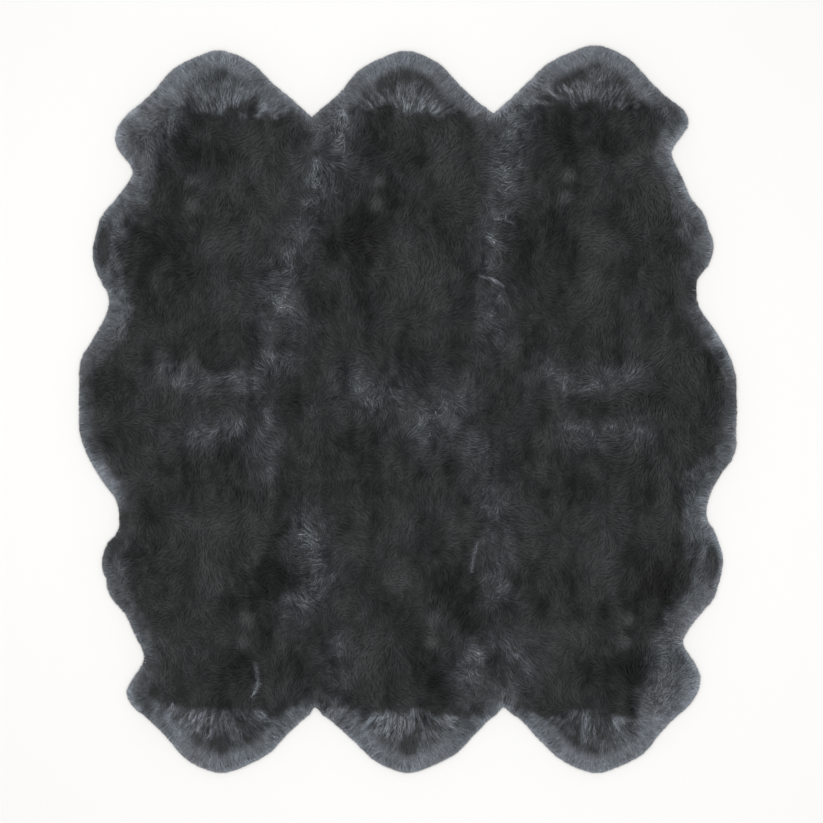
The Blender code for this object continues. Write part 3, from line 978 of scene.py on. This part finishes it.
def make_tufts(skin, runs, seed):
    """The tufts of the pile: where each starts and ends, how thick it is, and its shade."""
    rng = np.random.default_rng(seed)
    standing, laid = tuft_tips(skin, rng)
    tips = np.vstack([standing, laid])
    count = len(tips)
    index, distance = skin.rim(tips)
    outward = skin.way_out(tips, index, distance)
    height = skin.pile_height(tips, distance)
    ruffles = ruffled(tips, runs)

    # How the tip leans: out at the rim, towards the tip of the neck, and a little elsewhere.
    neck = smooth_step(skin.down_to_cap(tips), *LEANING_ON_NECK)
    rim = smooth_step(distance, RIM_BAND, 0)
    at_lip = near_hollows(tips, *LIP_OF_HOLLOW)
    lean = LEAN_AT_RIM * (rim * (1 - LEAN_LESS_AT_LIP * at_lip))[:, None] * outward
    lean += LEAN_ON_NECK * (neck * (1 - rim))[:, None] * unit(tips - skin.fan_centre)
    lean += LEAN_LAY * lay_of(skin, tips) * (1 - LAY_LESS * np.maximum(rim, neck))[:, None]
    swirl = SWIRL_TURN * soft_noise(tips, *SWIRL_NOISE)
    swirl = np.column_stack([np.cos(swirl), np.sin(swirl)])
    lean += LEAN_RUFFLED * np.clip(RUFFLE_GAIN * ruffles, 0, 1)[:, None] * swirl
    lean += LEAN_LOOSE * rng.normal(0, 1, (count, 2))
    parted, way = along_runs(tips, *runs["partings"])
    parted = np.clip(PARTING_GAIN * parted, 0, 1)[:, None]
    lean += parted * (LEAN_PARTED * way - lean)
    hollow = near_hollows(tips, *IN_HOLLOW)[:, None]
    lean += hollow * (LEAN_IN_HOLLOW * left_of(outward) - lean)
    roots = tips - lean
    to_staple, staple = staples(tips, seed + 1)
    ends = tips + STAPLE_PULL * (1 - RIM_PULL_LESS * rim)[:, None] * to_staple
    _, from_seam = nearest(skin.seam_tree, tips)
    across = SEAM_MINGLING * smooth_step(from_seam, *MINGLED)
    across *= smooth_step(distance, *SEAM_FROM_RIM)
    ends += across[:, None] * rng.normal(0, 1, (count, 2))

    # The tips lie at all heights at the rim, and near the top elsewhere.
    drop = TIP_DROP + RIM_TIP_DROP * smooth_step(distance, *RIM_TIPS)
    level = 1 - drop * rng.uniform(0, 1, count) ** TIPS_NEAR_TOP + STAPLE_DROP * (staple - 1)
    root_z = np.maximum(skin.fleece_height(roots) - ROOTED, FLEECE_FLOOR + OVER_FLEECE)
    end_z = np.maximum(height * level, FLEECE_FLOOR)
    end_z = np.maximum(end_z, skin.fleece_height(ends) + 2 * OVER_FLEECE)
    line = bent(at_height(roots, root_z), at_height(ends, end_z), TUFT_MIDDLE, rng)
    over = skin.fleece_height(line[:, 1, :2]) + OVER_FLEECE
    line[:, 1, 2] = np.maximum(line[:, 1, 2], over)
    calm = neck * smooth_step(distance, *CALM_BAND)
    unruly = UNRULY - UNRULY_LESS_CALM * calm + UNRULY_ON_NECK * neck
    unruly += np.clip(UNRULY_GAIN * ruffles, 0, UNRULY_RUFFLED)
    thin, thick = rng.uniform(*LYING_RADIUS, count), rng.uniform(*STANDING_RADIUS, count)
    return {
        "line": line,
        "facing": at_height(RIM_FACING * rim[:, None] * outward, 1),
        "radius": np.where(np.arange(count) < len(standing), thick, thin),
        "shade": 1 + SHADE_SPREAD * rng.normal(0, 1, count) + SHADE_SPREAD * staple,
        "sheen_factor": 1 + unruly * rng.normal(0, 1, count),
    }


def bent(roots, ends, middle, rng):
    """Lines of three points that arch from the roots over to the ends, and curl to a side."""
    chord = ends - roots
    flat = np.linalg.norm(chord[:, :2], axis=1)
    curl = TUFT_CURL * flat * rng.normal(0, 1, len(roots))
    middles = roots + middle * chord
    middles[:, :2] += curl[:, None] * unit(left_of(chord))
    middles[:, 2] += TUFT_ARCH * flat
    return np.stack([roots, middles, ends], axis=1)


def make_edge_tufts(skin, seed):
    """Rows of fine tufts that droop over the free edge and end on the outline."""
    rng = np.random.default_rng(seed)
    roots, ends, facing = [], [], []
    for row, reach in enumerate(EDGE_ROWS):
        spots = evenly_spaced(skin.edge, EDGE_PITCH)[1:-1]
        outward = skin.outward[skin.rim(spots)[0]]
        sideways = left_of(outward)
        count = len(spots)
        uneven = UNEVEN_LOOSE * rng.normal(0, 1, count)
        uneven += UNEVEN_WAVES * soft_noise(spots, *UNEVEN_EDGE_NOISE)
        spots = spots + (reach + uneven * MM)[:, None] * outward
        spots = spots + rng.uniform(-0.5, 0.5, count)[:, None] * EDGE_PITCH * sideways
        shortened = 1 - LENGTH_LESS_AT_LIP * near_hollows(spots, *LIP_OF_HOLLOW)
        length = rng.uniform(*EDGE_LENGTH, count) * shortened
        slant = rng.normal(0, SLANT_LOOSE, count) + SLANT_WAVES * soft_noise(spots, *SLANT_NOISE)
        back = spots - length[:, None] * (outward + slant[:, None] * sideways)
        level = EDGE_LEVEL * (1 + row)
        share = row / len(EDGE_ROWS) * rng.uniform(*EDGE_SHARE, count)
        rise = EDGE_RISE + share * np.clip(skin.fleece_height(back) - level, 0, None)
        roots.append(at_height(back, level + rise))
        ends.append(at_height(spots, level))
        facing.append(at_height(EDGE_FACING * outward, 1))
    roots, ends = np.vstack(roots), np.vstack(ends)
    count = len(roots)
    return {
        "line": bent(roots, ends, EDGE_MIDDLE, rng),
        "facing": np.vstack(facing),
        "radius": rng.uniform(*EDGE_RADIUS, count),
        "shade": EDGE_SHADE_WITH_SHEEN + EDGE_SHADE_SPREAD * rng.normal(0, 1, count),
        "sheen_factor": EDGE_SHEEN + EDGE_SHEEN_SPREAD * rng.normal(0, 1, count),
    }


def tuft_mesh(skin, runs, tufts, rng):
    """Points, triangles, attributes and normals of tufts: a root, a ring of three and a tip."""
    line, radius = tufts["line"], tufts["radius"]
    count = len(line)
    angles = rng.uniform(0, 2 * math.pi, count)[:, None] + np.arange(3) * 2 * math.pi / 3
    round_x, round_y = np.cos(angles)[:, :, None], np.sin(angles)[:, :, None]
    size = radius[:, None, None]
    axis = unit(line[:, 2] - line[:, 0])
    side = unit(np.cross(axis, [0.0, 0.0, 1.0]) + [1e-6, 0, 0])
    across = round_x * side[:, None] + round_y * np.cross(axis, side)[:, None]
    points = np.concatenate([line[:, :1], line[:, 1:2] + across * size, line[:, 2:]], axis=1)

    # Wool is soft to the light: its normals are partly those of the pile as a whole.
    facing = unit(tufts["facing"])[:, None]
    normals = [facing, facing + SOFTNESS * across, facing + SOFTNESS * axis[:, None]]
    normals = unit(np.concatenate(normals, axis=1)).reshape(-1, 3)

    # Where each point is on its tuft: round it, and how far along.
    lengths = np.linalg.norm(np.diff(line, axis=1), axis=2)
    travelled = np.concatenate([np.zeros((count, 1)), np.cumsum(lengths, axis=1)], axis=1)
    fibre = np.zeros((count, 5, 3))
    fibre[:, 1:4, :2] = np.concatenate([round_x, round_y], axis=2) * size
    fibre[:, :, 2] = np.repeat(travelled, (1, 3, 1), axis=1)
    fibre += rng.uniform(0, 100, (count, 1, 3))

    corners = []
    for a, b in ((1, 2), (2, 3), (3, 1)):
        corners += [(0, b, a), (4, a, b)]
    faces = (np.arange(count)[:, None, None] * 5 + np.array(corners)).reshape(-1, 3)

    # Wool takes the painted sheen and the marks of the place where it lies.
    places = line[:, :, :2].reshape(-1, 2)
    painted_sheen = painted_sheen_of(skin, places, runs).reshape(count, 3) * tufts["sheen_factor"][:, None]
    shade = tufts["shade"][:, None] + MARK_CONTRAST * marks_of(skin, places).reshape(count, 3)
    values = {
        "painted_sheen": np.clip(painted_sheen, 0, 1),
        "shade": np.clip(shade, *SHADE_RANGE),
        "along": travelled / travelled[:, -1:],
    }
    values = {key: np.repeat(value, (1, 3, 1), axis=1).ravel() for key, value in values.items()}
    values["fibre"] = fibre.reshape(-1, 3)
    return points.reshape(-1, 3), faces, values, normals


def make_wool(skin, runs, material, seed):
    tufts = make_tufts(skin, runs, seed), make_edge_tufts(skin, seed + 5)
    rng = np.random.default_rng(seed + 6)
    pile, edge = (tuft_mesh(skin, runs, group, rng) for group in tufts)
    points, normals = (np.vstack([pile[k], edge[k]]) for k in (0, 3))
    faces = np.vstack([pile[1], edge[1] + len(pile[0])])
    attributes = []
    for label, values in pile[2].items():
        kind = "FLOAT" if values.ndim == 1 else "FLOAT_VECTOR"
        attributes.append((label, kind, np.concatenate([values, edge[2][label]])))
    piece = mesh_piece("wool_" + skin.name, points, faces, True, material, attributes, normals)
    dress(piece)
    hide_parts(skin.node)


# ---- thread


def joined_runs(skins):
    """The seams, each once, as lines on the floor plane."""
    runs = []
    for number, skin in enumerate(skins):
        for other in skins[number + 1 :]:
            _, distance = nearest(other.seam_tree, skin.seam_fine)
            shared = np.flatnonzero(distance < SHARED_WITHIN)
            if len(shared) > FEWEST_SHARED:
                runs.append(skin.seam_fine[shared[0] : shared[-1] + 1])
    return runs


def zigzag(run):
    """Points that step from side to side along a line, clear of its ends."""
    stations = evenly_spaced(run, STITCH_PITCH / 2)[STITCH_START:-STITCH_START]
    sides = STITCH_REACH * (-1.0) ** np.arange(len(stations))
    return stations + sides[:, None] * left_normals(stations)


def four_sided_tube(line, radius, height):
    """Points and triangles of a closed four-sided tube along a line at a height."""
    sideways = left_normals(line)
    corners = []
    for out, up in ((1, 0), (0, 1), (-1, 0), (0, -1)):
        corners.append(at_height(line + out * radius * sideways, height + up * radius))
    points = np.stack(corners, axis=1).reshape(-1, 3)
    faces = [np.array([(0, 2, 1), (0, 3, 2)])]
    start = 4 * np.arange(len(line) - 1)
    for k in range(4):
        after = (k + 1) % 4
        faces.append(np.column_stack([start + k, start + after, start + 4 + after]))
        faces.append(np.column_stack([start + k, start + 4 + after, start + 4 + k]))
    faces.append(np.array([(0, 1, 2), (0, 2, 3)]) + 4 * (len(line) - 1))
    return points, np.vstack(faces)


def make_thread(skins, material):
    points, faces, total = [], [], 0
    for run in joined_runs(skins):
        some, sides = four_sided_tube(zigzag(run), THREAD_RADIUS, HIDE_LIFT / 2)
        points.append(some)
        faces.append(sides + total)
        total += len(some)
    piece = mesh_piece("seam_thread", np.vstack(points), np.vstack(faces), True, material)
    dress(piece)


# ---- materials


def principled(name, colour, roughness):
    material = bpy.data.materials.new(name)
    material.use_nodes = True
    shader = material.node_tree.nodes["Principled BSDF"]
    shader.inputs["Base Color"].default_value = (*colour, 1)
    shader.inputs["Roughness"].default_value = roughness
    return material, material.node_tree, shader


def node(tree, kind, **settings):
    made = tree.nodes.new(kind)
    for key, value in settings.items():
        setattr(made, key, value)
    return made


def ramp(tree, source, stops):
    """A colour ramp of (position, colour) stops, fed by a socket."""
    made = node(tree, "ShaderNodeValToRGB")
    elements = made.color_ramp.elements
    while len(elements) < len(stops):
        elements.new(0.5)
    for element, (position, colour) in zip(elements, stops):
        element.position = position
        element.color = (*colour, 1)
    tree.links.new(source, made.inputs["Fac"])
    return made.outputs["Color"]


def attribute(tree, name, socket="Fac"):
    return node(tree, "ShaderNodeAttribute", attribute_name=name).outputs[socket]


def math_node(tree, operation, a, b, clamp=False):
    made = node(tree, "ShaderNodeMath", operation=operation, use_clamp=clamp)
    for socket, value in zip(made.inputs, (a, b)):
        if isinstance(value, bpy.types.NodeSocket):
            tree.links.new(value, socket)
        else:
            socket.default_value = value
    return made.outputs[0]


def noise_texture(tree, scale, detail, place=None):
    made = node(tree, "ShaderNodeTexNoise")
    made.inputs["Scale"].default_value = scale
    made.inputs["Detail"].default_value = detail
    if place is not None:
        tree.links.new(place, made.inputs["Vector"])
    return made.outputs["Fac"]


def object_place(tree):
    return node(tree, "ShaderNodeTexCoord").outputs["Object"]


def add_bump(tree, shader, height, strength, distance):
    bump = node(tree, "ShaderNodeBump")
    bump.inputs["Strength"].default_value = strength
    bump.inputs["Distance"].default_value = distance
    tree.links.new(height, bump.inputs["Height"])
    tree.links.new(bump.outputs["Normal"], shader.inputs["Normal"])


def shades(tree, source, colour, darker, lighter):
    """From a darker to a lighter shade of a colour, each a place on the source and a factor."""
    stops = [(place, tuple(factor * c for c in colour)) for place, factor in (darker, lighter)]
    return ramp(tree, source, stops)


def tinted(tree, colour):
    """The colour, a little warmer in some patches and cooler in others."""
    patches = noise_texture(tree, 11, 3, object_place(tree))
    tint = ramp(tree, patches, [(0.36, WARM_TINT), (0.64, COOL_TINT)])
    made = node(tree, "ShaderNodeVectorMath", operation="MULTIPLY")
    tree.links.new(colour, made.inputs[0])
    tree.links.new(tint, made.inputs[1])
    return made.outputs[0]


def colour_with_sheen(tree, factor):
    blend = node(tree, "ShaderNodeMix", data_type="RGBA")
    colours = [socket for socket in blend.inputs if socket.type == "RGBA"]
    colours[0].default_value = (*WOOL_DARK, 1)
    colours[1].default_value = (*WOOL_SHEEN, 1)
    tree.links.new(factor, blend.inputs[0])
    return next(socket for socket in blend.outputs if socket.type == "RGBA")


def scaled(tree, colour, factor):
    made = node(tree, "ShaderNodeVectorMath", operation="SCALE")
    tree.links.new(colour, made.inputs[0])
    tree.links.new(factor, made.inputs["Scale"])
    return made.outputs[0]


def wool_material():
    material, tree, shader = principled("wool", WOOL_DARK, 0.85)
    shader.inputs["Sheen Weight"].default_value = 0.07
    shader.inputs["Sheen Roughness"].default_value = 0.5
    shader.inputs["Specular IOR Level"].default_value = 0.2
    along_fibre = node(tree, "ShaderNodeVectorMath", operation="MULTIPLY")
    along_fibre.inputs[1].default_value = FIBRE_STRETCH
    tree.links.new(attribute(tree, "fibre", "Vector"), along_fibre.inputs[0])
    streaks = noise_texture(tree, 2200, 2, along_fibre.outputs[0])
    streak = math_node(tree, "SUBTRACT", streaks, 0.5)

    # Painted sheen, with each fibre a little more or less so.
    painted_sheen = attribute(tree, "painted_sheen")
    uneven = math_node(tree, "ADD", 1.0, math_node(tree, "MULTIPLY", streak, SHEEN_CONTRAST))
    colour = colour_with_sheen(tree, math_node(tree, "MULTIPLY", painted_sheen, uneven, clamp=True))

    # Painted shade: darker towards the root, deep in the pile, and less so where the wool
    # lies over and has painted sheen.
    depth = math_node(tree, "SUBTRACT", 1.0, attribute(tree, "along"))
    less = math_node(tree, "MULTIPLY", painted_sheen, ROOT_SHADE_LESS_WITH_SHEEN)
    reach = math_node(tree, "SUBTRACT", ROOT_PAINTED_SHADE, less)
    light = math_node(tree, "SUBTRACT", TIP_LIGHT, math_node(tree, "MULTIPLY", depth, reach))
    light = math_node(tree, "MULTIPLY", light, attribute(tree, "shade"))
    fibres = math_node(tree, "ADD", 1.0, math_node(tree, "MULTIPLY", streak, FIBRE_CONTRAST))
    light = math_node(tree, "MULTIPLY", light, fibres)
    tree.links.new(tinted(tree, scaled(tree, colour, light)), shader.inputs["Base Color"])
    add_bump(tree, shader, streaks, strength=0.5, distance=0.5 * MM)
    return material


def fleece_material():
    material, tree, shader = principled("fleece", WOOL_DARK, 0.95)
    shader.inputs["Specular IOR Level"].default_value = 0.2
    grain = noise_texture(tree, 420, 3, object_place(tree))
    # The fleece is painted darker than the wool's tips, as painted shade deep in the pile, with its
    # grain and marks; it takes the painted sheen of its place too.
    colour = colour_with_sheen(tree, attribute(tree, "painted_sheen"))
    marks = math_node(tree, "MULTIPLY", attribute(tree, "marks"), FLEECE_CONTRAST)
    shade = math_node(tree, "ADD", FLEECE_IN_SHADE, marks)
    shade = math_node(tree, "ADD", shade, math_node(tree, "MULTIPLY", grain, FLEECE_GRAIN))
    tree.links.new(tinted(tree, scaled(tree, colour, shade)), shader.inputs["Base Color"])
    add_bump(tree, shader, grain, strength=0.8, distance=1.2 * MM)
    return material


def hide_material():
    material, tree, shader = principled("hide", HIDE_COLOUR, 0.9)
    patches = noise_texture(tree, 14, 8)
    colour = shades(tree, patches, HIDE_COLOUR, (0.3, 0.75), (0.7, 1.12))
    tree.links.new(colour, shader.inputs["Base Color"])
    add_bump(tree, shader, noise_texture(tree, 700, 2), strength=0.35, distance=0.4 * MM)
    return material


def thread_material():
    material, tree, shader = principled("thread", THREAD_COLOUR, 0.7)
    ply = node(tree, "ShaderNodeTexWave", bands_direction="DIAGONAL")
    ply.inputs["Scale"].default_value = 500
    tree.links.new(object_place(tree), ply.inputs["Vector"])
    colour = shades(tree, ply.outputs["Fac"], THREAD_COLOUR, (0.0, 0.7), (1.0, 1.2))
    tree.links.new(colour, shader.inputs["Base Color"])
    return material


# ---- stage


def make_camera():
    camera = bpy.data.objects.new("camera", bpy.data.cameras.new("camera"))
    camera.data.lens = LENS_MM
    camera.data.sensor_width = SENSOR_MM
    span = PHOTO_PIXELS * METRES_PER_PIXEL
    middle = PHOTO_PIXELS / 2
    camera.location = (
        (middle - ORIGIN_PIXEL[0]) * METRES_PER_PIXEL,
        (ORIGIN_PIXEL[1] - middle) * METRES_PER_PIXEL,
        span * LENS_MM / SENSOR_MM,
    )
    bpy.context.scene.collection.objects.link(camera)
    bpy.context.scene.camera = camera


def make_floor():
    bpy.ops.mesh.primitive_plane_add(size=FLOOR_SIZE, location=(0, 0, -FLOOR_DROP))
    floor = bpy.context.object
    floor.name = "floor"
    material, _, _ = principled("floor", FLOOR_COLOUR, 0.8)
    floor.data.materials.append(material)
    floor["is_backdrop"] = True


def area_light(name, location, size, energy):
    light = bpy.data.lights.new(name, "AREA")
    light.size = size
    light.energy = energy
    lamp = bpy.data.objects.new(name, light)
    lamp.location = location
    lamp.rotation_euler = (-Vector(location)).to_track_quat("-Z", "Y").to_euler()
    bpy.context.scene.collection.objects.link(lamp)


def make_light():
    for name, place_size_power in LAMPS.items():
        area_light(name, *place_size_power)
    world = bpy.data.worlds.new("studio")
    world.use_nodes = True
    background = world.node_tree.nodes["Background"]
    background.inputs["Color"].default_value = (1, 1, 1, 1)
    background.inputs["Strength"].default_value = WORLD_STRENGTH
    bpy.context.scene.world = world
    bpy.context.scene.view_settings.view_transform = "Standard"


def main(frame):
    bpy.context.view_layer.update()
    make_camera()
    make_floor()
    make_light()
    skins = read_skins(frame["nodes"])
    runs = {"ruffles": run_tree(RUFFLES.values()), "partings": run_tree(PARTINGS.values())}
    hide, fleece, wool = hide_material(), fleece_material(), wool_material()
    for number, skin in enumerate(skins):
        seed = WOOL_SEED + 10 * number
        make_hide(skin, hide, seed)
        make_fleece(skin, runs, fleece, seed)
        make_wool(skin, runs, wool, seed)
    make_thread(skins, thread_material())
    counts = {o.name: len(o.data.polygons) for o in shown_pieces()}
    print("triangles", sum(counts.values()), "most in one piece", max(counts.values()))


for stray in list(bpy.data.objects):
    bpy.data.objects.remove(stray)
main(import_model())
